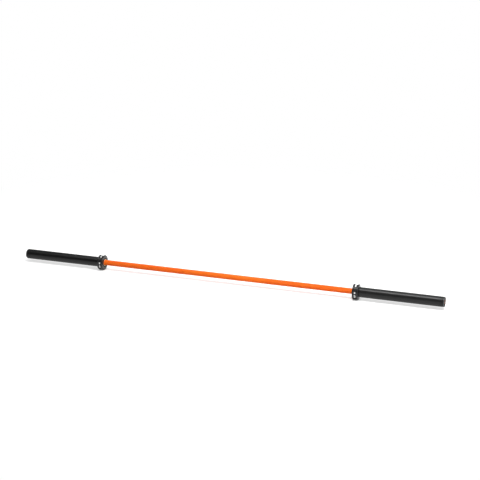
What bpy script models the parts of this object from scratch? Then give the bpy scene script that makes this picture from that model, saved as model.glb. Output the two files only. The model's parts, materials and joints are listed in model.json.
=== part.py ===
"""Olympic barbell: a knurled shaft with a free-turning sleeve on each end.

The bar lies along X, with its middle at the origin and its axis on the X axis. Both ends are
built alike: their pieces stand on an empty at the middle of the bar, which faces +X for the
right end and is turned half a turn about Z for the left end. Places along the bar are measured
from its middle. Every piece has its own origin on the bar's axis, at the piece's inboard face.
"""

import math

import bmesh
import bpy

# Overall layout
BAR_LENGTH = 2.200  # tip to tip
COLLAR_SPACING = 1.310  # between the inboard faces of the two collars

# Clearances between pieces
SEAT_GAP = 0.0003  # between a piece and the seat that holds it
RUNNING_GAP = 0.0003  # between pieces that turn past each other

# Shaft
GRIP_RADIUS = 0.0140
SHOULDER_HEIGHT = 0.0015  # from the grip down to the journal that runs inside the sleeve
KNURL_HEIGHT = 0.00015  # how far the knurled stretches stand proud
SMOOTH_MIDDLE = 0.430  # length of the plain stretch at the middle
KNURL_INSET = 0.015  # plain stretch between the knurling and the collar
RING_MARK_SPACINGS = (0.810, 0.910)  # between the left and right mark of each pair
RING_MARK_WIDTH = 0.006
SHAFT_TIP_CHAMFER = 0.001
SHAFT_TIP_SPACE = 0.003  # between the shaft's tip and the end cap
SHAFT_RING_SETBACK = 0.004  # from the shaft's tip to the retaining ring
SHAFT_GROOVE_DEPTH = 0.0011

# Sleeve
SLEEVE_RADIUS = 0.025
SLEEVE_BORE_SPACE = 0.0012  # around the journal, between the two sets of bearings
SLEEVE_TAPER_LENGTH = 0.0045  # of the lead-in at the outer end, which guides a plate on
SLEEVE_TAPER_DEPTH = 0.003  # measured along the radius
SLEEVE_END_FACE = 0.001  # least width of the flat ring that the taper leaves around the mouth
SLEEVE_GROOVE_SETBACKS = (0.021, 0.010)  # from the sleeve's outer end to each turned groove
SLEEVE_GROOVE_WIDTH = 0.002
SLEEVE_GROOVE_DEPTH = 0.0008
SLEEVE_RELIEF_WIDTH = 0.002  # of the undercut beside the collar
SLEEVE_RELIEF_DEPTH = 0.001

# Collar
COLLAR_WIDTH = 0.030
COLLAR_RADIUS = 0.038
COLLAR_SEAT_DEPTH = 0.002  # how far the sleeve is turned down under the collar
COLLAR_GROOVE_WIDTH = 0.015
COLLAR_GROOVE_DEPTH = 0.004
COLLAR_RIM_ROUNDING = 0.0028
COLLAR_BORE_CHAMFER = 0.0008
COLLAR_COUNTERBORE_DEPTH = 0.004  # how far the sleeve's full diameter reaches in

# Bushings
BUSHING_LENGTH = 0.024
INNER_BUSHING_WALL = 0.0034
BUSHING_CHAMFER = 0.0006

# Needle bearings, whose drawn cups share a seat radius with the outer bushing
ROLLER_DIAMETER = 0.0021
ROLLER_COUNT = 16
NEEDLE_CUP_LENGTH = 0.020
NEEDLE_CUP_WALL = 0.0008
NEEDLE_CUP_SPACING = 0.001  # between a cup and the end of its seat
CAGE_THICKNESS = 0.0007

# Thrust washers
WASHER_THICKNESS = 0.0024

# Retaining rings
SHAFT_RING_WIDTH = 0.0026  # measured along the radius
SHAFT_RING_THICKNESS = 0.0015
CAP_RING_WIDTH = 0.0028
CAP_RING_THICKNESS = 0.0015
CAP_RING_BITE = 0.0013  # depth of the cap ring's groove in the sleeve's mouth
RING_OPENING = math.radians(20)  # half of the angle that a retaining ring leaves open
LUG_SPREAD = math.radians(14)
LUG_SLOPE = math.radians(4)
LUG_HEIGHT = 0.0022
PLIER_HOLE_RADIUS = 0.0009

# End cap
CAP_LEDGE = 0.002  # width of the step in the sleeve that the cap sits on
CAP_THICKNESS = 0.006
CAP_SETBACK = 0.003  # from the sleeve's outer end to the cap ring
CAP_CHAMFER = 0.0008
CAP_BOSS_SETBACK = 0.001  # from the sleeve's outer end to the face of the cap's raised middle
CAP_BOSS_SPACE = 0.0008  # between the raised middle and the cap ring's lugs
CAP_RIM_WIDTH = 0.0022  # around the recess in the raised middle
CAP_RECESS_DEPTH = 0.0005

# Facets around each kind of round piece: multiples of 4, so that a flat lies underneath
SHAFT_FACETS = 32
SLEEVE_FACETS = 40
COLLAR_FACETS = 48
INNER_FACETS = 24
ROUNDING_STEPS = 2
RING_STEPS = 20
HOLE_FACETS = 8
SEAL_FACETS = 8
SHARP_ANGLE = math.radians(35)

# Radii that follow from the pieces that fit each other, from the shaft outwards
journal_radius = GRIP_RADIUS - SHOULDER_HEIGHT
shaft_groove_radius = journal_radius - SHAFT_GROOVE_DEPTH
sleeve_bore_radius = journal_radius + SLEEVE_BORE_SPACE
roller_radius = ROLLER_DIAMETER / 2
pitch_radius = journal_radius + RUNNING_GAP + roller_radius
cup_inner_radius = pitch_radius + roller_radius + RUNNING_GAP
cup_radius = cup_inner_radius + NEEDLE_CUP_WALL
cup_seat_radius = cup_radius + SEAT_GAP
inner_bushing_radius = GRIP_RADIUS + RUNNING_GAP + INNER_BUSHING_WALL
bushing_seat_radius = inner_bushing_radius + SEAT_GAP
seal_diameter = bushing_seat_radius - GRIP_RADIUS - SEAT_GAP - RUNNING_GAP
cap_radius = bushing_seat_radius + CAP_LEDGE
mouth_radius = cap_radius + SEAT_GAP
cap_groove_radius = mouth_radius + CAP_RING_BITE
cap_ring_outer = cap_groove_radius - SEAT_GAP
cap_ring_inner = cap_ring_outer - CAP_RING_WIDTH
cap_boss_radius = cap_ring_inner - LUG_HEIGHT - CAP_BOSS_SPACE
collar_seat_radius = SLEEVE_RADIUS - COLLAR_SEAT_DEPTH

# Places at the inboard end, from the collar's face outwards
collar_start = COLLAR_SPACING / 2
collar_end = collar_start + COLLAR_WIDTH
sleeve_shoulder = collar_end - COLLAR_COUNTERBORE_DEPTH + SEAT_GAP
inner_bushing_end = collar_start + BUSHING_LENGTH
seal_start = inner_bushing_end + SEAT_GAP
inner_washer_start = seal_start + seal_diameter + SEAT_GAP
shoulder = inner_washer_start - SEAT_GAP
inner_washer_step = inner_washer_start + WASHER_THICKNESS + RUNNING_GAP
inner_cup_start = inner_washer_step + NEEDLE_CUP_SPACING
inner_cup_stop = inner_cup_start + NEEDLE_CUP_LENGTH + SEAT_GAP

# Places at the outboard end, from the sleeve's end inwards
sleeve_end = BAR_LENGTH / 2
cap_ring_start = sleeve_end - CAP_SETBACK - CAP_RING_THICKNESS
cap_start = cap_ring_start - SEAT_GAP - CAP_THICKNESS
mouth_floor = cap_start - SEAT_GAP
shaft_tip = cap_start - SHAFT_TIP_SPACE
shaft_ring_start = shaft_tip - SHAFT_RING_SETBACK - SHAFT_RING_THICKNESS
outer_washer_start = shaft_ring_start - SEAT_GAP - WASHER_THICKNESS
outer_washer_step = outer_washer_start - RUNNING_GAP
outer_bushing_start = outer_washer_step - BUSHING_LENGTH
outer_cup_start = outer_bushing_start - NEEDLE_CUP_SPACING - NEEDLE_CUP_LENGTH
outer_cup_stop = outer_cup_start - SEAT_GAP


def clear_scene():
    for thing in list(bpy.data.objects):
        bpy.data.objects.remove(thing, do_unlink=True)


def make_material(name, colour, roughness, metallic):
    material = bpy.data.materials.new(name)
    material.use_nodes = True
    shader = material.node_tree.nodes["Principled BSDF"]
    shader.inputs["Base Color"].default_value = (*colour, 1.0)
    shader.inputs["Roughness"].default_value = roughness
    shader.inputs["Metallic"].default_value = metallic
    return material


def finish_mesh(shape, name):
    """Turns a closed bmesh into a mesh that faces outwards and shades smoothly."""
    bmesh.ops.recalc_face_normals(shape, faces=shape.faces)
    mesh = bpy.data.meshes.new(name)
    shape.to_mesh(mesh)
    shape.free()
    mesh.shade_smooth()
    mesh.set_sharp_from_angle(angle=SHARP_ANGLE)
    return mesh


def turned_mesh(name, outline, facets):
    """A body turned about X from an outline of (x, radius) points.

    An outline that starts and ends on the axis gives a solid body, and any other is closed
    into a ring. The first section stands half a facet off the vertical, so that the body has a
    flat underneath.
    """
    shape = bmesh.new()
    turn = math.pi / facets
    section = [
        shape.verts.new((x, -radius * math.sin(turn), radius * math.cos(turn)))
        for x, radius in outline
    ]
    edges = [shape.edges.new(pair) for pair in zip(section, section[1:])]
    if outline[0][1] > 0:
        edges.append(shape.edges.new((section[-1], section[0])))
    bmesh.ops.spin(
        shape,
        geom=section + edges,
        cent=(0, 0, 0),
        axis=(1, 0, 0),
        angle=2 * math.pi,
        steps=facets,
        use_merge=True,
    )
    bmesh.ops.remove_doubles(shape, verts=shape.verts, dist=1e-7)
    return finish_mesh(shape, name)


def banded_mesh(name, stations, thickness, closed):
    """A flat band about X from stations of (angle from +Z, inner radius, outer radius)."""
    shape = bmesh.new()
    sections = []
    for angle, inner, outer in stations:
        corners = ((0, inner), (0, outer), (thickness, outer), (thickness, inner))
        sections.append(
            [
                shape.verts.new((x, radius * math.sin(angle), radius * math.cos(angle)))
                for x, radius in corners
            ]
        )
    following = sections[1:] + sections[:1] if closed else sections[1:]
    for here, there in zip(sections, following):
        for corner in range(4):
            after = (corner + 1) % 4
            shape.faces.new((here[corner], here[after], there[after], there[corner]))
    if not closed:
        shape.faces.new(sections[0])
        shape.faces.new(sections[-1])
    return finish_mesh(shape, name)


def arc(centre_x, centre_radius, rounding, from_degrees, to_degrees, steps):
    """Points of (x, radius) along an arc of a section, 0 degrees being +X."""
    angles = [
        math.radians(from_degrees + (to_degrees - from_degrees) * step / steps)
        for step in range(steps + 1)
    ]
    return [
        (centre_x + rounding * math.cos(angle), centre_radius + rounding * math.sin(angle))
        for angle in angles
    ]


def groove(start, end, surface_radius, floor_radius):
    """Points of a square groove in an outline that runs towards +X."""
    return [
        (start, surface_radius),
        (start, floor_radius),
        (end, floor_radius),
        (end, surface_radius),
    ]


def knurled_stretches():
    """Start and end of each knurled stretch of the right half, from the middle outwards."""
    marks = [spacing / 2 for spacing in RING_MARK_SPACINGS]
    starts = [SMOOTH_MIDDLE / 2] + [mark + RING_MARK_WIDTH / 2 for mark in marks]
    ends = [mark - RING_MARK_WIDTH / 2 for mark in marks] + [collar_start - KNURL_INSET]
    return list(zip(starts, ends))


def shaft_mesh():
    """One bar: the grip in the middle, and a journal from each shoulder to the tip."""
    right_half = []
    for start, end in knurled_stretches():
        right_half += groove(start, end, GRIP_RADIUS, GRIP_RADIUS + KNURL_HEIGHT)
    right_half += [(shoulder, GRIP_RADIUS), (shoulder, journal_radius)]
    right_half += groove(
        shaft_ring_start - SEAT_GAP,
        shaft_ring_start + SHAFT_RING_THICKNESS + SEAT_GAP,
        journal_radius,
        shaft_groove_radius,
    )
    right_half += [
        (shaft_tip - SHAFT_TIP_CHAMFER, journal_radius),
        (shaft_tip, journal_radius - SHAFT_TIP_CHAMFER),
        (shaft_tip, 0),
    ]
    left_half = [(-x, radius) for x, radius in reversed(right_half)]
    return turned_mesh("shaft", left_half + right_half, SHAFT_FACETS)


def sleeve_mesh():
    """Tube for the plates: collar seat outside, stepped seats for the bearings inside."""
    outline = [
        (collar_start, bushing_seat_radius),
        (collar_start, collar_seat_radius),
        (sleeve_shoulder, collar_seat_radius),
        (sleeve_shoulder, SLEEVE_RADIUS),
    ]
    outline += groove(
        collar_end,
        collar_end + SLEEVE_RELIEF_WIDTH,
        SLEEVE_RADIUS,
        SLEEVE_RADIUS - SLEEVE_RELIEF_DEPTH,
    )
    for setback in SLEEVE_GROOVE_SETBACKS:
        middle = sleeve_end - setback
        outline += groove(
            middle - SLEEVE_GROOVE_WIDTH / 2,
            middle + SLEEVE_GROOVE_WIDTH / 2,
            SLEEVE_RADIUS,
            SLEEVE_RADIUS - SLEEVE_GROOVE_DEPTH,
        )
    taper_depth = min(SLEEVE_TAPER_DEPTH, SLEEVE_RADIUS - mouth_radius - SLEEVE_END_FACE)
    cap_groove_start = cap_ring_start - SEAT_GAP
    cap_groove_end = cap_ring_start + CAP_RING_THICKNESS + SEAT_GAP
    outline += [
        (sleeve_end - SLEEVE_TAPER_LENGTH, SLEEVE_RADIUS),
        (sleeve_end, SLEEVE_RADIUS - taper_depth),
        (sleeve_end, mouth_radius),
        (cap_groove_end, mouth_radius),
        (cap_groove_end, cap_groove_radius),
        (cap_groove_start, cap_groove_radius),
        (cap_groove_start, mouth_radius),
        (mouth_floor, mouth_radius),
        (mouth_floor, bushing_seat_radius),
        (outer_washer_step, bushing_seat_radius),
        (outer_washer_step, cup_seat_radius),
        (outer_cup_stop, cup_seat_radius),
        (outer_cup_stop, sleeve_bore_radius),
        (inner_cup_stop, sleeve_bore_radius),
        (inner_cup_stop, cup_seat_radius),
        (inner_washer_step, cup_seat_radius),
        (inner_washer_step, bushing_seat_radius),
    ]
    own = [(x - collar_start, radius) for x, radius in outline]
    return turned_mesh("sleeve", own, SLEEVE_FACETS)


def rounded_rim(start, end, rounding):
    """Points over one of the collar's rims, both of whose corners are rounded."""
    centre = COLLAR_RADIUS - rounding
    over_start = arc(start + rounding, centre, rounding, 180, 90, ROUNDING_STEPS)
    over_end = arc(end - rounding, centre, rounding, 90, 0, ROUNDING_STEPS)
    return over_start + over_end


def collar_mesh():
    """Ring with a wide groove between two rims, counterbored where the sleeve stops."""
    rim = (COLLAR_WIDTH - COLLAR_GROOVE_WIDTH) / 2
    rounding = min(COLLAR_RIM_ROUNDING, rim / 2)
    groove_floor = COLLAR_RADIUS - COLLAR_GROOVE_DEPTH
    bore = collar_seat_radius + SEAT_GAP
    counterbore = SLEEVE_RADIUS + SEAT_GAP
    counterbore_floor = COLLAR_WIDTH - COLLAR_COUNTERBORE_DEPTH
    outline = [(0, bore + COLLAR_BORE_CHAMFER)]
    outline += rounded_rim(0, rim, rounding)
    outline += [(rim, groove_floor), (COLLAR_WIDTH - rim, groove_floor)]
    outline += rounded_rim(COLLAR_WIDTH - rim, COLLAR_WIDTH, rounding)
    outline += [
        (COLLAR_WIDTH, counterbore),
        (counterbore_floor, counterbore),
        (counterbore_floor, bore),
        (COLLAR_BORE_CHAMFER, bore),
    ]
    return turned_mesh("collar", outline, COLLAR_FACETS)


def bushing_mesh(name, bore, radius):
    """Plain bronze bushing with chamfered outer edges."""
    outline = [
        (0, bore),
        (0, radius - BUSHING_CHAMFER),
        (BUSHING_CHAMFER, radius),
        (BUSHING_LENGTH - BUSHING_CHAMFER, radius),
        (BUSHING_LENGTH, radius - BUSHING_CHAMFER),
        (BUSHING_LENGTH, bore),
    ]
    return turned_mesh(name, outline, INNER_FACETS)


def seal_mesh():
    """Rubber ring of round section around the end of the grip."""
    section = seal_diameter / 2
    outline = arc(section, GRIP_RADIUS + RUNNING_GAP + section, section, 0, 360, SEAL_FACETS)
    return turned_mesh("seal_ring", outline[:-1], INNER_FACETS)


def washer_mesh():
    """Flat thrust washer that runs on the journal."""
    bore = journal_radius + RUNNING_GAP
    radius = bushing_seat_radius - RUNNING_GAP
    outline = [(0, bore), (0, radius), (WASHER_THICKNESS, radius), (WASHER_THICKNESS, bore)]
    return turned_mesh("thrust_washer", outline, INNER_FACETS)


def needle_cup_mesh():
    """Drawn cup with a lip at each end that keeps the cage in."""
    lip = pitch_radius - CAGE_THICKNESS / 2
    wall = NEEDLE_CUP_WALL
    outline = [
        (0, lip),
        (0, cup_radius),
        (NEEDLE_CUP_LENGTH, cup_radius),
        (NEEDLE_CUP_LENGTH, lip),
        (NEEDLE_CUP_LENGTH - wall, lip),
        (NEEDLE_CUP_LENGTH - wall, cup_inner_radius),
        (wall, cup_inner_radius),
        (wall, lip),
    ]
    return turned_mesh("needle_cup", outline, INNER_FACETS)


def needle_cage_mesh():
    """Cage band with its rollers, which stand proud of it inside and outside."""
    band = CAGE_THICKNESS / 2
    root = math.sqrt(roller_radius**2 - band**2) / pitch_radius
    crown = root / 2
    stations = []
    for number in range(ROLLER_COUNT):
        middle = 2 * math.pi * number / ROLLER_COUNT
        sides = ((-root, band), (-crown, roller_radius), (crown, roller_radius), (root, band))
        for offset, reach in sides:
            stations.append((middle + offset, pitch_radius - reach, pitch_radius + reach))
    length = NEEDLE_CUP_LENGTH - 2 * NEEDLE_CUP_WALL - 2 * RUNNING_GAP
    return banded_mesh("needle_cage", stations, length, closed=True)


def retaining_ring_mesh(name, inner, outer, thickness, inner_lug, outer_lug):
    """Open ring that springs into a groove, with a lug beside the opening on each end."""
    lug_end = RING_OPENING + LUG_SPREAD
    body_start = lug_end + LUG_SLOPE
    body_sweep = 2 * (math.pi - body_start)
    lug = (inner - inner_lug, outer + outer_lug)
    stations = [(RING_OPENING, *lug), (lug_end, *lug)]
    for step in range(RING_STEPS + 1):
        stations.append((body_start + body_sweep * step / RING_STEPS, inner, outer))
    stations += [(2 * math.pi - lug_end, *lug), (2 * math.pi - RING_OPENING, *lug)]
    return banded_mesh(name, stations, thickness, closed=False)


def plier_holes_mesh(name, lug_radius, thickness):
    """Two pins through the lugs, used to cut the holes for the pliers.

    The pins stand out of each face of the ring by the ring's own thickness.
    """
    shape = bmesh.new()
    lug_middle = RING_OPENING + LUG_SPREAD / 2
    for angle in (lug_middle, -lug_middle):
        centre = (lug_radius * math.sin(angle), lug_radius * math.cos(angle))
        ends = []
        for x in (-thickness, thickness + thickness):
            corners = []
            for step in range(HOLE_FACETS):
                turn = 2 * math.pi * (step + 0.5) / HOLE_FACETS
                y = centre[0] + PLIER_HOLE_RADIUS * math.sin(turn)
                z = centre[1] + PLIER_HOLE_RADIUS * math.cos(turn)
                corners.append(shape.verts.new((x, y, z)))
            ends.append(shape.faces.new(corners))
        bmesh.ops.bridge_loops(shape, edges=list(ends[0].edges) + list(ends[1].edges))
    return finish_mesh(shape, name)


def end_cap_mesh():
    """Disc whose middle stands out through the cap ring, with a shallow recess in its face."""
    face = sleeve_end - CAP_BOSS_SETBACK - cap_start
    recess_radius = cap_boss_radius - CAP_RIM_WIDTH
    outline = [
        (0, 0),
        (0, cap_radius),
        (CAP_THICKNESS - CAP_CHAMFER, cap_radius),
        (CAP_THICKNESS, cap_radius - CAP_CHAMFER),
        (CAP_THICKNESS, cap_boss_radius),
        (face - CAP_CHAMFER, cap_boss_radius),
        (face, cap_boss_radius - CAP_CHAMFER),
        (face, recess_radius),
        (face - CAP_RECESS_DEPTH, recess_radius - CAP_RECESS_DEPTH),
        (face - CAP_RECESS_DEPTH, 0),
    ]
    return turned_mesh("end_cap", outline, SLEEVE_FACETS)


def add_piece(name, mesh, material, parent=None, place=0.0):
    """A piece of the bar at a place along its axis, in the frame of its end of the bar."""
    piece = bpy.data.objects.new(name, mesh)
    if not mesh.materials:
        mesh.materials.append(material)
    piece.parent = parent
    piece.location.x = place
    bpy.context.collection.objects.link(piece)
    return piece


def add_retaining_ring(name, mesh, holes, material, end, place):
    """A retaining ring whose lug holes are cut by a hidden pair of pins."""
    ring = add_piece(name, mesh, material, end, place)
    cutter = add_piece(name + "_plier_holes", holes, material, ring)
    cutter.hide_render = True
    cutter.display_type = "WIRE"
    cut = ring.modifiers.new("plier_holes", "BOOLEAN")
    cut.operation = "DIFFERENCE"
    cut.solver = "EXACT"
    cut.object = cutter


def add_end(side, turn, meshes, materials):
    """All pieces of one end of the bar, on an empty that faces along it."""
    end = bpy.data.objects.new(side + "_end", None)
    end.rotation_euler.z = turn
    bpy.context.collection.objects.link(end)
    pieces = (
        ("sleeve", "sleeve", "black_coat", collar_start),
        ("collar", "collar", "black_gloss", collar_start),
        ("inner_bushing", "inner_bushing", "bronze", collar_start),
        ("seal_ring", "seal_ring", "rubber", seal_start),
        ("inner_thrust_washer", "thrust_washer", "steel", inner_washer_start),
        ("inner_needle_cup", "needle_cup", "steel", inner_cup_start),
        (
            "inner_needle_cage",
            "needle_cage",
            "cage_steel",
            inner_cup_start + NEEDLE_CUP_WALL + RUNNING_GAP,
        ),
        ("outer_needle_cup", "needle_cup", "steel", outer_cup_start),
        (
            "outer_needle_cage",
            "needle_cage",
            "cage_steel",
            outer_cup_start + NEEDLE_CUP_WALL + RUNNING_GAP,
        ),
        ("outer_bushing", "outer_bushing", "bronze", outer_bushing_start),
        ("outer_thrust_washer", "thrust_washer", "steel", outer_washer_start),
        ("end_cap", "end_cap", "cap_black", cap_start),
    )
    for name, mesh, material, place in pieces:
        add_piece(f"{side}_{name}", meshes[mesh], materials[material], end, place)
    rings = (
        ("shaft_retaining_ring", "shaft_ring", shaft_ring_start),
        ("end_cap_retaining_ring", "cap_ring", cap_ring_start),
    )
    for name, mesh, place in rings:
        add_retaining_ring(
            f"{side}_{name}",
            meshes[mesh],
            meshes[mesh + "_holes"],
            materials["spring_steel"],
            end,
            place,
        )


def main():
    clear_scene()
    materials = {
        "orange_coat": make_material("orange_coat", (0.88, 0.15, 0.025), 0.38, 0.0),
        "black_coat": make_material("black_coat", (0.022, 0.022, 0.024), 0.42, 0.3),
        "black_gloss": make_material("black_gloss", (0.018, 0.018, 0.020), 0.28, 0.3),
        "cap_black": make_material("cap_black", (0.018, 0.018, 0.020), 0.35, 0.6),
        "bronze": make_material("bronze", (0.62, 0.42, 0.22), 0.35, 1.0),
        "steel": make_material("steel", (0.55, 0.55, 0.56), 0.25, 1.0),
        "cage_steel": make_material("cage_steel", (0.42, 0.42, 0.43), 0.35, 1.0),
        "spring_steel": make_material("spring_steel", (0.10, 0.10, 0.11), 0.35, 1.0),
        "rubber": make_material("rubber", (0.02, 0.02, 0.02), 0.85, 0.0),
    }
    shaft_ring_inner = shaft_groove_radius + SEAT_GAP
    shaft_ring_outer = shaft_ring_inner + SHAFT_RING_WIDTH
    meshes = {
        "sleeve": sleeve_mesh(),
        "collar": collar_mesh(),
        "inner_bushing": bushing_mesh(
            "inner_bushing", GRIP_RADIUS + RUNNING_GAP, inner_bushing_radius
        ),
        "outer_bushing": bushing_mesh(
            "outer_bushing", journal_radius + RUNNING_GAP, cup_radius
        ),
        "seal_ring": seal_mesh(),
        "thrust_washer": washer_mesh(),
        "needle_cup": needle_cup_mesh(),
        "needle_cage": needle_cage_mesh(),
        "end_cap": end_cap_mesh(),
        "shaft_ring": retaining_ring_mesh(
            "shaft_ring", shaft_ring_inner, shaft_ring_outer, SHAFT_RING_THICKNESS, 0, LUG_HEIGHT
        ),
        "shaft_ring_holes": plier_holes_mesh(
            "shaft_ring_holes", shaft_ring_outer, SHAFT_RING_THICKNESS
        ),
        "cap_ring": retaining_ring_mesh(
            "cap_ring", cap_ring_inner, cap_ring_outer, CAP_RING_THICKNESS, LUG_HEIGHT, 0
        ),
        "cap_ring_holes": plier_holes_mesh("cap_ring_holes", cap_ring_inner, CAP_RING_THICKNESS),
    }
    add_piece("shaft", shaft_mesh(), materials["orange_coat"])
    add_end("right", 0.0, meshes, materials)
    add_end("left", math.pi, meshes, materials)


main()
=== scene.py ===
"""Looks of the olympic barbell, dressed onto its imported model.

Lengths are in metres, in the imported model's frame: the bar lies along X with its axis on the X
axis, and +Z is up. Angles round the bar are measured up from -Y, the side towards the camera.
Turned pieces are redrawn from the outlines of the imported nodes, with their edges rounded and
many more segments, so they fit where the nodes are.
"""

import json
import math

import bmesh
import bpy
import numpy as np
from mathutils import Matrix, Vector


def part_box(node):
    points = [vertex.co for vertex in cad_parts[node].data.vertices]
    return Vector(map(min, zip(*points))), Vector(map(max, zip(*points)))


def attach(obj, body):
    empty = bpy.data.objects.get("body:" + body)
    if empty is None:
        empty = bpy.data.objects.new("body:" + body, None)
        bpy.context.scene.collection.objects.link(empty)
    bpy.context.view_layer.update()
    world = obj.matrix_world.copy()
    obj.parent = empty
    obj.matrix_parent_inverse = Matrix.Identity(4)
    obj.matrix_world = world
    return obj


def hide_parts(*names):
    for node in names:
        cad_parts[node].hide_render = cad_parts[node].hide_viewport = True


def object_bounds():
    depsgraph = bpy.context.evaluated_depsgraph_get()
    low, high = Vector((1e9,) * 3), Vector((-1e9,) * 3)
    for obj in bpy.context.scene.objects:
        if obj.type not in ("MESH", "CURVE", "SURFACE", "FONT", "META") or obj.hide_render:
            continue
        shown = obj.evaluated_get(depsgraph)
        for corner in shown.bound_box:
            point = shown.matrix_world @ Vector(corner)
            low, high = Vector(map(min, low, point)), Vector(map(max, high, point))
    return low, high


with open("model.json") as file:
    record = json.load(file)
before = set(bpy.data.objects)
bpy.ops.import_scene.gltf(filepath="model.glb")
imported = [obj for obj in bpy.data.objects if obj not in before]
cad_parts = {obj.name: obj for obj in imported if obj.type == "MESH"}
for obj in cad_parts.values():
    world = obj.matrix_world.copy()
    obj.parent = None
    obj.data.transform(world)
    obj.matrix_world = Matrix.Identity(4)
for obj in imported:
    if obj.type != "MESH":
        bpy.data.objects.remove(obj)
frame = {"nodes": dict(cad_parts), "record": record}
cad_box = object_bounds()

SIDES = {"left": -1.0, "right": 1.0}
TOP = math.pi / 2  # angle of the top of the bar
SLOTS = {part["node"]: part["material_slot"] for part in frame["record"]["subparts"]}
BODIES = {
    node: body
    for body, nodes in frame["record"]["behaviour"]["bodies"].items()
    for node in nodes
}

# Camera, placed from the middle of the bar
CAMERA_FOCAL_PIXELS = 1151.5
FRAME_PIXELS = 480.0
SENSOR_WIDTH = 36.0  # millimetres, as Blender counts it
CAMERA_DISTANCE = 5.771
CAMERA_YAW = math.radians(17.9)  # the right end of the bar comes this much towards the camera
CAMERA_PITCH = math.radians(19.2)  # looking down
CAMERA_SIDE_OFFSET = 0.0750
CAMERA_UP_OFFSET = 0.1825

# Studio: white at the horizon, with walls that are dim towards -X, light towards +X
HORIZON_LIGHT = 1.0
HORIZON_TOP = math.radians(9)  # elevation where the horizon has faded into the walls
LEFT_WALL_LIGHT = 0.02
RIGHT_WALL_LIGHT = 0.75
LEFT_WALL_TURN = -0.42  # part along X of the directions between which the walls change
RIGHT_WALL_TURN = -0.05
CEILING_LIGHT = 0.25
CEILING_START = math.radians(30)  # elevation where the walls give way to the ceiling
CEILING_FULL = math.radians(55)
WHITE = (1.0, 1.0, 1.0)

# Softboxes: power in watts, (length along the bar, width), place, and the point faced
SOFTBOXES = {
    "long_softbox": (46.5, (4.8, 0.9), (0.5, -0.45, 2.4), (0.5, -0.2, 0.0)),
    "back_softbox": (15.0, (3.0, 0.6), (-0.4, 1.2, 2.3), (-0.4, 0.0, 0.0)),
    "end_softbox": (44.5, (1.65, 0.9), (1.1, -0.43, 2.3), (1.1, -0.2, 0.0)),
}

# Floor
FLOOR_SIZE = 120.0
FLOOR_GLOW = 0.58  # what the floor shows in the deepest shadow
FLOOR_SHADED = 0.60  # what full light adds to that
FLOOR_BOUNCE = 0.72
FLOOR_PAINTED_SHADOW_REACH = 0.012  # painted contact shadow: the glow goes out within this distance of what stands on the floor
FLOOR_NEAR = 1.3  # distance from the middle of the bar where the floor starts to glow more
FLOOR_FAR = 2.2

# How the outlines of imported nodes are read
PLANE_TOLERANCE = 1e-3  # radians
PLACE_DIGITS = 6
RADIUS_DIGITS = 5

# Fineness of the redrawn pieces
SHAFT_SEGMENTS = 116  # even, so that the knurl closes
SLEEVE_SEGMENTS = 192
INNER_SEGMENTS = 96
EDGE_ROUNDING = 0.0004
COLLAR_ROUNDING = 0.0009
EDGE_STEPS = 4
EDGE_SHARE = 0.45  # the most of an edge that the rounding at one of its ends takes
BROAD_FACE_WEIGHT = 100  # the highest, at which broad faces keep their own normals
SHARP_ANGLE = math.radians(30)

# Turned pieces inside each sleeve
TURNED_INSIDE = (
    "inner_bushing",
    "outer_bushing",
    "seal_ring",
    "inner_needle_cup",
    "inner_thrust_washer",
    "outer_needle_cup",
    "outer_thrust_washer",
)

# Knurling: pyramids whose crests and roots alternate along the bar and around it
KNURL_ROW = 0.0012  # half of a diamond's length
KNURL_DEPTH = 0.0003

# White marks on the floor of the collar's groove
MARK_SPANS = ((60, 92), (3, 17), (-31, -8))  # degrees
MARK_REPEATS = 2
MARK_WIDTH = 0.0066
MARK_THICKNESS = 0.00015
MARK_CORNER = 0.0014
MARK_STEP = math.radians(2)
CORNER_STEPS = 6
GROOVE_TOLERANCE = 0.001

# Plain orange ring printed in the recess of the end cap
CAP_PRINT_OUTER = 0.0105
CAP_PRINT_INNER = 0.0035
CAP_PRINT_THICKNESS = 0.0002

# Needle bearings
ROLLER_COUNT = 16
ROLLER_SEGMENTS = 24
ROLLER_ROUNDING = 0.0002
CAGE_RIM = 0.0012  # from the end of the cage to the end of its rollers

# Retaining rings, whose opening is at the top
RING_OPENING = math.radians(20)  # from the top to the first lug
LUG_SPREAD = math.radians(14)
LUG_SLOPE = math.radians(6)
RING_STEP = math.radians(2.5)
PLIER_HOLE_RADIUS = 0.0009
PLIER_HOLE_DEPTH = 3  # in thicknesses of the ring, so that the hole goes well through it
HOLE_SEGMENTS = 32

# Between these lie most of a noise's values
NOISE_LOW = 0.3
NOISE_HIGH = 0.7

# Coat of the shaft
ORANGE_SHEEN = 0.10
CREST_COLOURS = ((0.855, 0.166, 0.014), (0.875, 0.180, 0.017))
# painted shade: deeper, redder colours where the knurl sinks towards its roots, between the two
# radii below
ROOT_SHADE_COLOURS = ((0.770, 0.106, 0.007), (0.800, 0.118, 0.009))
ROOT_RADIUS = 0.01385
CREST_RADIUS = 0.01415
ORANGE_ROUGHNESS = (0.36, 0.50)
ORANGE_CLOUD_SCALE = 14.0
ORANGE_GRAIN_SCALE = 2600.0
ORANGE_GRAIN_DEPTH = 0.00002

# Coat of the sleeves and end caps, with faint turned lines under it
BLACK_SHEEN = 0.30
SLEEVE_COLOUR = (0.003, 0.003, 0.003)
SLEEVE_ROUGHNESS = (0.28, 0.38)
CAP_COLOUR = (0.008, 0.008, 0.009)
CAP_ROUGHNESS = (0.45, 0.60)
BLACK_CLOUD_SCALE = 22.0
BLACK_CLOUD_GAIN = 1.5  # how many times lighter the lightest clouds are
BLACK_GRAIN_SCALE = 2200.0
BLACK_RELIEF = 0.00001
LINE_STRETCH = (5200.0, 30.0, 30.0)  # noise that changes fast along the bar and slowly across it
LINE_RANGE = (0.25, 0.75)

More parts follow.
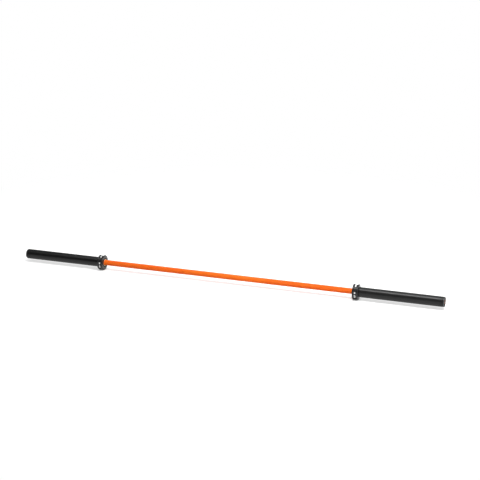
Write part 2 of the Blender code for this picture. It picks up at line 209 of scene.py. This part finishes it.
# Wear at the sleeves' outer ends, by distance from the middle of the bar
WORN_FROM = 1.0922
WORN_FULLY = 1.0940
WORN_COLOUR = (0.065, 0.065, 0.067)
WORN_ROUGHNESS = 0.45
WORN_PATCH_SCALE = 900.0
WORN_PATCH_RANGE = (0.25, 0.60)
WORN_LEAST = 0.70  # share of the wear where a patch is least worn

# Grooves of the sleeves, dull below the first radius and with the coat's own sheen past the other
GROOVE_FLOOR = 0.0243
GROOVE_EDGE = 0.0247
GROOVE_ROUGHNESS = 0.85

# Coat of the collars, with some dust on it
GLOSS_SHEEN = 0.35
GLOSS_COLOUR = (0.010, 0.010, 0.011)
GLOSS_ROUGHNESS = (0.24, 0.38)
GLOSS_RANGE = (0.3, 0.8)
PEEL_SCALE = 380.0
PEEL_DEPTH = 0.00002
DUST_SCALE = 1500.0
DUST_COLOUR = (0.12, 0.12, 0.12)
DUST_RANGE = (0.70, 0.78)
DUST_SHARE = 0.35

# Printed inks: full colour and thin colour
INKS = {
    "white_ink": ((0.72, 0.72, 0.71), (0.60, 0.60, 0.59)),
    "orange_ink": ((0.46, 0.14, 0.035), (0.36, 0.105, 0.028)),
}
INK_SHEEN = 0.2
INK_ROUGHNESS = (0.60, 0.80)
INK_PATCH_SCALE = 700.0
INK_RELIEF = 0.00001

# Bare metals: clean colour, tarnished colour, and roughness
METALS = {
    "bronze": ((0.80, 0.58, 0.36), (0.52, 0.33, 0.17), (0.25, 0.42)),
    "steel": ((0.60, 0.60, 0.61), (0.42, 0.42, 0.43), (0.18, 0.30)),
    "cage_steel": ((0.46, 0.46, 0.47), (0.33, 0.33, 0.34), (0.28, 0.42)),
    "spring_steel": ((0.12, 0.12, 0.13), (0.07, 0.07, 0.07), (0.28, 0.42)),
}
TURNING_SCALE = 9000.0
TURNING_DEPTH = 0.000008
TARNISH_SCALE = 160.0
TARNISH_RANGE = (0.35, 0.7)

# Rubber
RUBBER_COLOURS = ((0.012, 0.012, 0.012), (0.030, 0.030, 0.030))
RUBBER_ROUGHNESS = (0.70, 0.90)
RUBBER_GRAIN_SCALE = 3000.0
RUBBER_GRAIN_DEPTH = 0.00003

# Places of the colour sockets on Blender's mix node
MIX_FIRST = 6
MIX_SECOND = 7
MIX_RESULT = 2


def section_of(node):
    """Ordered (x, radius) outline of a turned CAD node.

    The node's facets meet on planes through the bar's axis. The edges on one of these planes,
    taken in order, are the outline. A ring's outline ends where it starts, and a solid body's
    ends on the axis.
    """
    mesh = frame["nodes"][node].data
    angles = [math.atan2(v.co.z, -v.co.y) for v in mesh.vertices]
    plane = min(angle for angle in angles if angle > 0)
    points = {
        v.index: (round(v.co.x, PLACE_DIGITS), round(math.hypot(v.co.y, v.co.z), PLACE_DIGITS))
        for v, angle in zip(mesh.vertices, angles)
        if abs(angle - plane) < PLANE_TOLERANCE
    }
    joined = {}
    for edge in mesh.edges:
        start, end = (points.get(index) for index in edge.vertices)
        if start and end and start != end:
            joined.setdefault(start, set()).add(end)
            joined.setdefault(end, set()).add(start)
    tips = [point for point in joined if len(joined[point]) == 1]
    outline = [min(tips or joined)]
    while True:
        ahead = [point for point in joined[outline[-1]] if point not in outline]
        if not ahead:
            break
        outline.append(min(ahead))
    if tips:
        return [(outline[0][0], 0.0)] + outline + [(outline[-1][0], 0.0)]
    return outline + [outline[0]]


def rounded(outline, rounding):
    """The outline with each corner replaced by a short curve."""
    closed = outline[0] == outline[-1]
    points = [Vector(point) for point in (outline[:-1] if closed else outline)]
    made = []
    for number, corner in enumerate(points):
        if not closed and number in (0, len(points) - 1):
            made.append(corner)
            continue
        edges = (points[number - 1] - corner, points[(number + 1) % len(points)] - corner)
        reach = min(rounding, *(edge.length * EDGE_SHARE for edge in edges))
        start, end = (corner + edge.normalized() * reach for edge in edges)
        for step in range(EDGE_STEPS + 1):
            share = step / EDGE_STEPS
            made.append(start.lerp(corner, share).lerp(corner.lerp(end, share), share))
    points = [(point.x, point.y) for point in made]
    return points + [points[0]] if closed else points


def point_at(x, radius, angle):
    """The point with a place along the bar, a distance from its axis and an angle round it."""
    return (x, -radius * math.cos(angle), radius * math.sin(angle))


def turned(outline, segments):
    """A bmesh turned about the bar's axis from (x, radius) points.

    The outline ends where it starts, or has both of its ends on the axis.
    """
    closed = outline[0] == outline[-1]
    shape = bmesh.new()
    rings = []
    for x, radius in outline[:-1] if closed else outline:
        angles = [2 * math.pi * turn / segments for turn in range(segments if radius else 1)]
        rings.append([shape.verts.new(point_at(x, radius, angle)) for angle in angles])
    if closed:
        rings.append(rings[0])
    for here, there in zip(rings, rings[1:]):
        for turn in range(segments):
            sides = ((here, turn), (here, turn + 1), (there, turn + 1), (there, turn))
            corners = [ring[place % len(ring)] for ring, place in sides]
            shape.faces.new(tuple(dict.fromkeys(corners)))
    return shape


def swept(sections):
    """A bmesh through sections with as many points each, closed at both ends."""
    shape = bmesh.new()
    rows = [[shape.verts.new(point) for point in section] for section in sections]
    for here, there in zip(rows, rows[1:]):
        for corner in range(len(here)):
            after = (corner + 1) % len(here)
            shape.faces.new((here[corner], here[after], there[after], there[corner]))
    shape.faces.new(rows[0])
    shape.faces.new(rows[-1])
    return shape


def add_object(name, data):
    """A new object in the scene."""
    added = bpy.data.objects.new(name, data)
    bpy.context.scene.collection.objects.link(added)
    return added


def object_from(shape, name):
    """A new object in the scene with the faces of a bmesh, which it uses up."""
    mesh = bpy.data.meshes.new(name)
    shape.to_mesh(mesh)
    shape.free()
    return add_object(name, mesh)


def piece_from(shape, name, material, node, replaced=()):
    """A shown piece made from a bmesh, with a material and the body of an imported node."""
    bmesh.ops.recalc_face_normals(shape, faces=shape.faces)
    piece = object_from(shape, name)
    piece.data.materials.append(material)
    body = BODIES[node]
    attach(piece, body)
    if replaced:
        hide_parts(*replaced)
    return piece


def flatten_broad_faces(piece):
    """Smooth shading that keeps broad faces flat beside the small faces of rounded edges."""
    piece.data.shade_smooth()
    normals = piece.modifiers.new("normals", "WEIGHTED_NORMAL")
    normals.weight = BROAD_FACE_WEIGHT


def add_turned(node, materials, segments, rounding=EDGE_ROUNDING, limit=None):
    """Redraws a turned CAD node finely, with its radius kept under a limit if one is given."""
    outline = section_of(node)
    if limit:
        outline = [(x, min(radius, limit)) for x, radius in outline]
    shape = turned(rounded(outline, rounding), segments)
    piece = piece_from(shape, node + "_fine", materials[SLOTS[node]], node, (node,))
    flatten_broad_faces(piece)


def shaft_rows():
    """(x, radius, knurled) of each ring of points along the shaft.

    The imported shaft's widest stretches are its knurled ones. Each becomes many rows, and the
    rest of the outline becomes plain rows.
    """
    outline = section_of("shaft")
    crest = max(radius for _, radius in outline)
    plain = []
    rows = []
    for (x, radius), (after_x, after_radius) in zip(outline, outline[1:]):
        if radius < crest:
            plain.append((x, radius))
            continue
        if after_radius < crest:
            continue
        rows += [(place, size, False) for place, size in rounded(plain, EDGE_ROUNDING)]
        count = round((after_x - x) / KNURL_ROW)
        pitch = (after_x - x) / count
        rows += [(x + pitch * (row + 0.5), crest, True) for row in range(count)]
        plain = []
    plain.append(outline[-1])
    rows += [(place, size, False) for place, size in rounded(plain, EDGE_ROUNDING)]
    return [row for row in rows if row[1] > 0]


def shaft_points(rows):
    """The points of all rows, with every other point of a knurled row sunk to a root."""
    turns = np.arange(SHAFT_SEGMENTS)
    angles = 2 * math.pi * turns / SHAFT_SEGMENTS
    points = []
    for number, (x, radius, knurled) in enumerate(rows):
        reach = radius - ((number + turns) % 2) * KNURL_DEPTH * knurled
        sides = (np.full(SHAFT_SEGMENTS, x), -reach * np.cos(angles), reach * np.sin(angles))
        points.append(np.column_stack(sides))
    return np.concatenate(points)


def shaft_faces(rows):
    """The faces between all rows and at both ends, and whether each is smooth.

    Faces that touch a knurled row are split into triangles along the pyramids' edges.
    """
    faces = []
    smooth = []
    for number, (here, there) in enumerate(zip(rows, rows[1:])):
        knurled = here[2] or there[2]
        low = number * SHAFT_SEGMENTS
        high = low + SHAFT_SEGMENTS
        for turn in range(SHAFT_SEGMENTS):
            after = (turn + 1) % SHAFT_SEGMENTS
            corners = (low + turn, low + after, high + after, high + turn)
            if not knurled:
                faces.append(corners)
            elif (number + turn) % 2:
                faces += [corners[:3], (corners[2], corners[3], corners[0])]
            else:
                faces += [(corners[0], corners[1], corners[3]), corners[1:]]
        smooth += [not knurled] * (len(faces) - len(smooth))
    last = (len(rows) - 1) * SHAFT_SEGMENTS
    faces += [tuple(range(SHAFT_SEGMENTS)), tuple(range(last, last + SHAFT_SEGMENTS))]
    return faces, smooth + [False, False]


def add_shaft(materials):
    """The shaft, with real pyramids over its knurled stretches."""
    rows = shaft_rows()
    faces, smooth = shaft_faces(rows)
    mesh = bpy.data.meshes.new("shaft_fine")
    mesh.from_pydata(shaft_points(rows), [], faces)
    mesh.polygons.foreach_set("use_smooth", smooth)
    shape = bmesh.new()
    shape.from_mesh(mesh)
    bpy.data.meshes.remove(mesh)
    piece_from(shape, "shaft_fine", materials["orange_coat"], "shaft", ("shaft",))


def mark_columns(start, end, radius):
    """(angle, half width) of each column of a mark with rounded corners."""
    corner = MARK_CORNER / radius
    half = MARK_WIDTH / 2
    rounding = []
    for step in range(CORNER_STEPS + 1):
        turn = math.pi / 2 * step / CORNER_STEPS
        narrowed = half - MARK_CORNER * (1 - math.sin(turn))
        rounding.append((start + corner * (1 - math.cos(turn)), narrowed))
    count = max(1, round((end - start - 2 * corner) / MARK_STEP))
    inner = (end - start - 2 * corner) / count
    middle = [(start + corner + inner * step, half) for step in range(1, count)]
    return rounding + middle + [(start + end - angle, width) for angle, width in reversed(rounding)]


def add_mark(name, node, middle, radius, span, material):
    """A thin raised mark that lies round the floor of the collar's groove."""
    below = radius - MARK_THICKNESS
    above = radius + MARK_THICKNESS
    sections = []
    for angle, half in mark_columns(*span, radius):
        corners = ((-half, below), (-half, above), (half, above), (half, below))
        sections.append([point_at(middle + x, size, angle) for x, size in corners])
    flatten_broad_faces(piece_from(swept(sections), name, material, node))


def add_marks(side, material):
    """Generic marks round the collar, the same again on its far side."""
    node = side + "_collar"
    outline = section_of(node)
    low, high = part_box(node)
    middle = (low.x + high.x) / 2
    inner = min(abs(x - middle) for x, _ in outline)
    floor = max(radius for x, radius in outline if abs(x - middle) < inner + GROOVE_TOLERANCE)
    turns = [2 * math.pi * repeat / MARK_REPEATS for repeat in range(MARK_REPEATS)]
    spans = [[math.radians(end) + turn for end in span] for turn in turns for span in MARK_SPANS]
    for number, span in enumerate(spans, 1):
        add_mark(f"{node}_mark_{number}", node, middle, floor, span, material)


def add_cap_print(side, material):
    """A plain orange ring on the floor of the end cap's recess."""
    node = side + "_end_cap"
    outline = section_of(node)
    face = max(abs(x) for x, _ in outline)
    floor = max(abs(x) for x, radius in outline if radius > 0 and abs(x) < face)
    top = floor + CAP_PRINT_THICKNESS
    corners = (
        (floor, CAP_PRINT_INNER),
        (top, CAP_PRINT_INNER),
        (top, CAP_PRINT_OUTER),
        (floor, CAP_PRINT_OUTER),
        (floor, CAP_PRINT_INNER),
    )
    shape = turned([(SIDES[side] * x, radius) for x, radius in corners], INNER_SEGMENTS)
    piece_from(shape, node + "_ring", material, node)


def ring_stations(body, lug):
    """(angle from the top, inner radius, outer radius) round a retaining ring, lug to lug."""
    lug_end = RING_OPENING + LUG_SPREAD
    body_start = lug_end + LUG_SLOPE
    count = round(LUG_SPREAD / RING_STEP)
    half = [(RING_OPENING + LUG_SPREAD * step / count, *lug) for step in range(count + 1)]
    for step in range(1, EDGE_STEPS):
        share = step / EDGE_STEPS
        ease = share * share * (3 - 2 * share)
        radii = [start + (end - start) * ease for start, end in zip(lug, body)]
        half.append((lug_end + LUG_SLOPE * share, *radii))
    sweep = math.pi - body_start
    count = round(sweep / RING_STEP)
    half += [(body_start + sweep * step / count, *body) for step in range(count + 1)]
    return half + [(2 * math.pi - angle, *radii) for angle, *radii in reversed(half[:-1])]


def add_retaining_ring(node, materials):
    """Redraws a retaining ring, whose lugs lie inside or outside its band."""
    low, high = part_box(node)
    places = [v.co for v in frame["nodes"][node].data.vertices]
    radii = [math.hypot(place.y, place.z) for place in places]
    far_radii = [radius for radius, place in zip(radii, places) if place.z < 0]
    band = (min(far_radii), max(far_radii))
    lug = (min(radii), max(radii))
    sections = []
    for angle, inner, outer in ring_stations(band, lug):
        corners = ((low.x, inner), (low.x, outer), (high.x, outer), (high.x, inner))
        sections.append([point_at(x, radius, TOP + angle) for x, radius in corners])
    material = materials[SLOTS[node]]
    piece = piece_from(swept(sections), node + "_fine", material, node, (node,))
    lug_grows_inwards = band[0] - lug[0] > lug[1] - band[1]
    hole_radius = band[0] if lug_grows_inwards else band[1]
    cut_plier_holes(piece, (low.x + high.x) / 2, hole_radius, high.x - low.x)
    piece.data.shade_smooth()
    piece.data.set_sharp_from_angle(angle=SHARP_ANGLE)


def cut_plier_holes(piece, middle, radius, thickness):
    """Cuts a hole through each lug, with the cut made final in the piece's mesh."""
    shape = bmesh.new()
    lug_middle = RING_OPENING + LUG_SPREAD / 2
    for angle in (lug_middle, -lug_middle):
        centre = Vector(point_at(middle, radius, TOP + angle))
        bmesh.ops.create_cone(
            shape,
            cap_ends=True,
            segments=HOLE_SEGMENTS,
            radius1=PLIER_HOLE_RADIUS,
            radius2=PLIER_HOLE_RADIUS,
            depth=PLIER_HOLE_DEPTH * thickness,
            matrix=Matrix.Translation(centre) @ Matrix.Rotation(math.pi / 2, 4, "Y"),
        )
    cutter = object_from(shape, "plier_holes")
    cut = piece.modifiers.new("holes", "BOOLEAN")
    cut.operation = "DIFFERENCE"
    cut.object = cutter
    view = bpy.context.evaluated_depsgraph_get()
    made = bpy.data.meshes.new_from_object(piece.evaluated_get(view))
    piece.modifiers.remove(cut)
    piece.data = made
    bpy.data.objects.remove(cutter)


def spread_round(shape, radius, count):
    """Puts copies of all that a bmesh holds evenly on a circle about the bar's axis."""
    original = shape.verts[:] + shape.edges[:] + shape.faces[:]
    for number in range(count):
        away = point_at(0.0, radius, TOP + 2 * math.pi * number / count)
        copied = bmesh.ops.duplicate(shape, geom=original)["geom"]
        moved = [part for part in copied if isinstance(part, bmesh.types.BMVert)]
        bmesh.ops.translate(shape, verts=moved, vec=away)
    unmoved = [part for part in original if isinstance(part, bmesh.types.BMVert)]
    bmesh.ops.delete(shape, geom=unmoved, context="VERTS")


def add_needle_cage(node, materials):
    """Redraws a needle bearing's cage as a band, with its rollers as round needles."""
    low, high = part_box(node)
    material = materials[SLOTS[node]]
    places = [v.co for v in frame["nodes"][node].data.vertices]
    radii = {round(math.hypot(place.y, place.z), RADIUS_DIGITS) for place in places}
    inmost, band_inner, band_outer, outmost = sorted(radii)
    corners = [(low.x, band_inner), (low.x, band_outer), (high.x, band_outer), (high.x, band_inner)]
    shape = turned(rounded(corners + corners[:1], ROLLER_ROUNDING), INNER_SEGMENTS)
    flatten_broad_faces(piece_from(shape, node + "_band", material, node, (node,)))
    radius = (outmost - inmost) / 2
    start = low.x + CAGE_RIM
    end = high.x - CAGE_RIM
    outline = [(start, 0.0), (start, radius), (end, radius), (end, 0.0)]
    shape = turned(rounded(outline, ROLLER_ROUNDING), ROLLER_SEGMENTS)
    spread_round(shape, (outmost + inmost) / 2, ROLLER_COUNT)
    flatten_broad_faces(piece_from(shape, node + "_rollers", material, node))


def add_pieces(materials):
    """All shown pieces, each in place of a CAD node or on one."""
    add_shaft(materials)
    _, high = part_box("right_collar")
    for side in SIDES:
        add_turned(side + "_sleeve", materials, SLEEVE_SEGMENTS)
        add_turned(side + "_collar", materials, SLEEVE_SEGMENTS, COLLAR_ROUNDING, high.z)
        add_turned(side + "_end_cap", materials, SLEEVE_SEGMENTS)
        for name in TURNED_INSIDE:
            add_turned(f"{side}_{name}", materials, INNER_SEGMENTS)
        add_marks(side, materials["white_ink"])
        add_cap_print(side, materials["orange_ink"])
        for place in ("inner", "outer"):
            add_needle_cage(f"{side}_{place}_needle_cage", materials)
        for holder in ("end_cap", "shaft"):
            add_retaining_ring(f"{side}_{holder}_retaining_ring", materials)


def dress_nodes(materials):
    """Gives each CAD node the fine material of its slot."""
    for name, node in frame["nodes"].items():
        node.data.materials.clear()
        node.data.materials.append(materials[SLOTS[name]])


class Nodes:
    """Short calls for building a node tree. Values may be numbers, tuples or nodes' outputs."""

    def __init__(self, tree):
        self.tree = tree

    def add(self, kind, **settings):
        """A new node with its settings."""
        node = self.tree.nodes.new("ShaderNode" + kind)
        for name, value in settings.items():
            setattr(node, name, value)
        return node

    def feed(self, socket, value):
        """Links a socket to a node's output, or gives it a plain value or colour."""
        if isinstance(value, bpy.types.NodeSocket):
            self.tree.links.new(value, socket)
        elif socket.type == "RGBA":
            socket.default_value = (*value, 1.0)
        else:
            socket.default_value = value

    def math(self, operation, *values):
        """The result of a Math node."""
        node = self.add("Math", operation=operation)
        for socket, value in zip(node.inputs, values):
            self.feed(socket, value)
        return node.outputs["Value"]

    def smooth_step(self, source, start, stop, first, last):
        """A value that goes smoothly from first to last as source goes from start to stop."""
        node = self.add("MapRange", interpolation_type="SMOOTHSTEP")
        names = ("Value", "From Min", "From Max", "To Min", "To Max")
        for name, value in zip(names, (source, start, stop, first, last)):
            self.feed(node.inputs[name], value)
        return node.outputs["Result"]

    def spread(self, noise, first, last):
        """A noise widened so that most of it lies from first to last."""
        return self.smooth_step(noise, NOISE_LOW, NOISE_HIGH, first, last)

    def diffuse(self, level):
        """A matt grey surface."""
        node = self.add("BsdfDiffuse")
        self.feed(node.inputs["Color"], (level, level, level))
        return node.outputs["BSDF"]

    def emission(self, strength):
        """A white glow."""
        node = self.add("Emission")
        self.feed(node.inputs["Strength"], strength)
        return node.outputs["Emission"]

    def blend(self, share, first, second):
        """The first shader where share is 0, the second where it is 1."""
        node = self.add("MixShader")
        for socket, value in zip(node.inputs, (share, first, second)):
            self.feed(socket, value)
        return node.outputs["Shader"]


class Coat(Nodes):
    """The nodes of a material that ends in a Principled BSDF."""

    def __init__(self, name):
        self.material = bpy.data.materials.new(name)
        self.material.use_nodes = True
        super().__init__(self.material.node_tree)
        self.shader = self.tree.nodes["Principled BSDF"]
        self.place = self.add("TexCoord").outputs["Object"]

    def shade(self, **values):
        """Gives the shader's sockets their values. In their names _ stands for a space."""
        for name, value in values.items():
            self.feed(self.shader.inputs[name.replace("_", " ")], value)

    def shown(self, name):
        """The output that the shader's socket is linked to."""
        return self.shader.inputs[name].links[0].from_socket

    def stretched(self, scale):
        """The place, scaled unevenly along the axes."""
        node = self.add("Mapping")
        self.feed(node.inputs["Scale"], scale)
        self.feed(node.inputs["Vector"], self.place)
        return node.outputs["Vector"]

    def around(self):
        """The place as (along the bar, distance from its axis)."""
        node = self.add("SeparateXYZ")
        self.feed(node.inputs["Vector"], self.place)
        along, *across = node.outputs
        squares = [self.math("MULTIPLY", part, part) for part in across]
        return along, self.math("SQRT", self.math("ADD", *squares))

    def noise(self, vector, scale, detail=4.0):
        """Noise from 0 to 1 with scale blobs or so to a metre."""
        node = self.add("TexNoise")
        self.feed(node.inputs["Vector"], vector)
        self.feed(node.inputs["Scale"], scale)
        self.feed(node.inputs["Detail"], detail)
        return node.outputs["Fac"]

    def mix(self, share, first, second):
        """The first colour where share is 0, the second where it is 1."""
        node = self.add("Mix", data_type="RGBA")
        self.feed(node.inputs["Factor"], share)
        self.feed(node.inputs[MIX_FIRST], first)
        self.feed(node.inputs[MIX_SECOND], second)
        return node.outputs[MIX_RESULT]

    def bump(self, height, depth, under=None):
        """Bump of a real depth in metres, over another bump if one is given."""
        node = self.add("Bump")
        self.feed(node.inputs["Strength"], 1.0)
        self.feed(node.inputs["Distance"], depth)
        self.feed(node.inputs["Height"], height)
        if under:
            self.feed(node.inputs["Normal"], under)
        return node.outputs["Normal"]


def orange_coat():
    """Satin ceramic coat, with painted shade: deeper orange in the knurl's roots, lighter on its
    crests.
    """
    coat = Coat("orange_coat_fine")
    _, radius = coat.around()
    crest = coat.smooth_step(radius, ROOT_RADIUS, CREST_RADIUS, 0.0, 1.0)
    cloud = coat.noise(coat.place, ORANGE_CLOUD_SCALE)
    grain = coat.noise(coat.place, ORANGE_GRAIN_SCALE, detail=2.0)
    light = coat.mix(cloud, *CREST_COLOURS)
    # painted shade in the knurl's roots
    root_shade = coat.mix(coat.spread(cloud, 0.0, 1.0), *ROOT_SHADE_COLOURS)
    coat.shade(
        Specular_IOR_Level=ORANGE_SHEEN,
        Base_Color=coat.mix(crest, root_shade, light),
        Roughness=coat.spread(grain, *ORANGE_ROUGHNESS),
        Normal=coat.bump(grain, ORANGE_GRAIN_DEPTH),
    )
    return coat.material


def turned_black(name, colour, roughness):
    """Black coat over a turned surface: faint lines run round the bar."""
    coat = Coat(name)
    lines = coat.noise(coat.stretched(LINE_STRETCH), 1.0, detail=3.0)
    grain = coat.noise(coat.place, BLACK_GRAIN_SCALE, detail=2.0)
    cloud = coat.spread(coat.noise(coat.place, BLACK_CLOUD_SCALE), 0.0, 1.0)
    lighter = tuple(value * BLACK_CLOUD_GAIN for value in colour)
    under = coat.bump(lines, BLACK_RELIEF)
    coat.shade(
        Specular_IOR_Level=BLACK_SHEEN,
        Base_Color=coat.mix(cloud, colour, lighter),
        Roughness=coat.smooth_step(lines, *LINE_RANGE, *roughness),
        Normal=coat.bump(grain, BLACK_RELIEF, under),
    )
    return coat


def sleeve_coat():
    """The sleeves' black coat: dull in the grooves, and worn thin at the outer end."""
    coat = turned_black("black_coat_fine", SLEEVE_COLOUR, SLEEVE_ROUGHNESS)
    along, radius = coat.around()
    end = coat.smooth_step(coat.math("ABSOLUTE", along), WORN_FROM, WORN_FULLY, 0.0, 1.0)
    noise = coat.noise(coat.place, WORN_PATCH_SCALE)
    patches = coat.smooth_step(noise, *WORN_PATCH_RANGE, WORN_LEAST, 1.0)
    worn = coat.math("MULTIPLY", end, patches)
    groove = coat.smooth_step(radius, GROOVE_FLOOR, GROOVE_EDGE, 1.0, 0.0)
    dull = coat.math("SUBTRACT", groove, end)
    sheen = coat.smooth_step(worn, 0.0, 1.0, coat.shown("Roughness"), WORN_ROUGHNESS)
    coat.shade(
        Base_Color=coat.mix(worn, coat.shown("Base Color"), WORN_COLOUR),
        Roughness=coat.smooth_step(dull, 0.0, 1.0, sheen, GROOVE_ROUGHNESS),
    )
    return coat.material


def gloss_black():
    """Gloss black coat with a slight orange peel and a few pale specks of dust."""
    coat = Coat("black_gloss_fine")
    peel = coat.noise(coat.place, PEEL_SCALE, detail=1.0)
    dust = coat.noise(coat.place, DUST_SCALE, detail=2.0)
    specks = coat.smooth_step(dust, *DUST_RANGE, 0.0, DUST_SHARE)
    coat.shade(
        Specular_IOR_Level=GLOSS_SHEEN,
        Base_Color=coat.mix(specks, GLOSS_COLOUR, DUST_COLOUR),
        Roughness=coat.smooth_step(dust, *GLOSS_RANGE, *GLOSS_ROUGHNESS),
        Normal=coat.bump(peel, PEEL_DEPTH),
    )
    return coat.material


def ink(name, full, thin):
    """Printed colour, a little uneven."""
    coat = Coat(name)
    patch = coat.noise(coat.place, INK_PATCH_SCALE)
    coat.shade(
        Specular_IOR_Level=INK_SHEEN,
        Base_Color=coat.mix(patch, full, thin),
        Roughness=coat.spread(patch, *INK_ROUGHNESS),
        Normal=coat.bump(patch, INK_RELIEF),
    )
    return coat.material


def machined_metal(name, clean, tarnished, roughness):
    """Bare metal with turning marks and a faint tarnish."""
    coat = Coat(name)
    joined = coat.add("CombineXYZ")
    for socket, part in zip(joined.inputs, coat.around()):
        coat.feed(socket, coat.math("MULTIPLY", part, TURNING_SCALE))
    lines = coat.noise(joined.outputs["Vector"], 1.0, detail=2.0)
    noise = coat.noise(coat.place, TARNISH_SCALE)
    tarnish = coat.smooth_step(noise, *TARNISH_RANGE, 0.0, 1.0)
    coat.shade(
        Metallic=1.0,
        Base_Color=coat.mix(tarnish, clean, tarnished),
        Roughness=coat.spread(lines, *roughness),
        Normal=coat.bump(lines, TURNING_DEPTH),
    )
    return coat.material


def black_rubber():
    """Moulded rubber with a fine grain."""
    coat = Coat("rubber_fine")
    grain = coat.noise(coat.place, RUBBER_GRAIN_SCALE)
    coat.shade(
        Base_Color=coat.mix(grain, *RUBBER_COLOURS),
        Roughness=coat.spread(grain, *RUBBER_ROUGHNESS),
        Normal=coat.bump(grain, RUBBER_GRAIN_DEPTH),
    )
    return coat.material


def make_materials():
    """Each material by the name of its slot or ink."""
    made = {
        "orange_coat": orange_coat(),
        "black_coat": sleeve_coat(),
        "cap_black": turned_black("cap_black_fine", CAP_COLOUR, CAP_ROUGHNESS).material,
        "black_gloss": gloss_black(),
        "rubber": black_rubber(),
    }
    for name, colours in INKS.items():
        made[name] = ink(name, *colours)
    for slot, look in METALS.items():
        made[slot] = machined_metal(slot + "_fine", *look)
    return made


def floor_material():
    """White floor that keeps a soft shadow.

    Rays from the camera and reflections see a floor that partly glows by itself, and wholly so
    far from the bar, so that it is white where no shadow falls. Near what stands on it the glow
    fades out: a painted contact shadow. Light that bounces off it comes from its plain colour.
    """
    material = bpy.data.materials.new("floor")
    material.use_nodes = True
    nodes = Nodes(material.node_tree)
    nodes.tree.nodes.clear()
    rays = nodes.add("LightPath").outputs
    seen = nodes.math("MAXIMUM", rays["Is Camera Ray"], rays["Is Glossy Ray"])
    seen = nodes.math("MAXIMUM", seen, rays["Is Transmission Ray"])
    distance = nodes.add("VectorMath", operation="LENGTH")
    nodes.feed(distance.inputs[0], nodes.add("TexCoord").outputs["Object"])
    far = nodes.smooth_step(distance.outputs["Value"], FLOOR_NEAR, FLOOR_FAR, 0.0, 1.0)
    # painted contact shadow: the glow fades where the floor is hemmed in by what stands on it
    painted_contact_shadow = nodes.add("AmbientOcclusion")
    nodes.feed(painted_contact_shadow.inputs["Distance"], FLOOR_PAINTED_SHADOW_REACH)
    glow_with_painted_shadow = nodes.smooth_step(painted_contact_shadow.outputs["AO"], 0.0, 1.0, 0.0, FLOOR_GLOW)
    near_white = nodes.add("AddShader")
    nodes.feed(near_white.inputs[0], nodes.diffuse(FLOOR_SHADED))
    nodes.feed(near_white.inputs[1], nodes.emission(glow_with_painted_shadow))
    white = nodes.blend(far, near_white.outputs["Shader"], nodes.emission(1.0))
    surface = nodes.blend(seen, nodes.diffuse(FLOOR_BOUNCE), white)
    nodes.feed(nodes.add("OutputMaterial").inputs["Surface"], surface)
    return material


def add_floor():
    """The floor that the collars rest on."""
    shape = bmesh.new()
    place = Matrix.Translation((0, 0, cad_box[0].z))
    bmesh.ops.create_grid(shape, x_segments=1, y_segments=1, size=FLOOR_SIZE / 2, matrix=place)
    floor = object_from(shape, "floor")
    floor.data.materials.append(floor_material())


def add_world():
    """A studio that is white at the horizon, with graded walls and a plain ceiling."""
    world = bpy.data.worlds.new("studio")
    bpy.context.scene.world = world
    world.use_nodes = True
    nodes = Nodes(world.node_tree)
    nodes.tree.nodes.clear()
    apart = nodes.add("SeparateXYZ")
    nodes.feed(apart.inputs["Vector"], nodes.add("TexCoord").outputs["Generated"])
    along, _, height = apart.outputs
    wall_turns = (LEFT_WALL_TURN, RIGHT_WALL_TURN)
    walls = nodes.smooth_step(along, *wall_turns, LEFT_WALL_LIGHT, RIGHT_WALL_LIGHT)
    ceiling = (math.sin(CEILING_START), math.sin(CEILING_FULL))
    upper = nodes.smooth_step(height, *ceiling, walls, CEILING_LIGHT)
    level = nodes.smooth_step(height, 0.0, math.sin(HORIZON_TOP), HORIZON_LIGHT, upper)
    studio = nodes.add("Background")
    nodes.feed(studio.inputs["Color"], WHITE)
    nodes.feed(studio.inputs["Strength"], level)
    nodes.feed(nodes.add("OutputWorld").inputs["Surface"], studio.outputs["Background"])


def add_softbox(name, power, size, place, aim):
    """A softbox whose length lies along the bar and which faces a point."""
    facing = (Vector(place) - Vector(aim)).normalized()
    across = facing.cross(Vector((1.0, 0.0, 0.0))).normalized()
    along = across.cross(facing)
    lamp = bpy.data.lights.new(name, "AREA")
    lamp.shape = "RECTANGLE"
    lamp.size, lamp.size_y = size
    lamp.energy = power
    light = add_object(name, lamp)
    light.location = place
    light.rotation_euler = Matrix((along, across, facing)).transposed().to_euler()


def add_camera():
    """The camera, aimed by its yaw and pitch and offset across its own view."""
    right = Vector((math.cos(CAMERA_YAW), math.sin(CAMERA_YAW), 0.0))
    away = Vector((-math.sin(CAMERA_YAW), math.cos(CAMERA_YAW), 0.0))
    up = Vector((0.0, 0.0, 1.0))
    ahead = away * math.cos(CAMERA_PITCH) - up * math.sin(CAMERA_PITCH)
    above = away * math.sin(CAMERA_PITCH) + up * math.cos(CAMERA_PITCH)
    offset = right * CAMERA_SIDE_OFFSET + above * CAMERA_UP_OFFSET
    data = bpy.data.cameras.new("camera")
    data.sensor_width = SENSOR_WIDTH
    data.lens = CAMERA_FOCAL_PIXELS / FRAME_PIXELS * SENSOR_WIDTH
    data.clip_end = FLOOR_SIZE
    camera = add_object("camera", data)
    camera.location = offset - ahead * CAMERA_DISTANCE
    camera.rotation_euler = Matrix((right, above, -ahead)).transposed().to_euler()
    bpy.context.scene.camera = camera


add_camera()
materials = make_materials()
dress_nodes(materials)
add_pieces(materials)
add_floor()
add_world()
for name, look in SOFTBOXES.items():
    add_softbox(name, *look)
bpy.context.scene.view_settings.view_transform = "Standard"
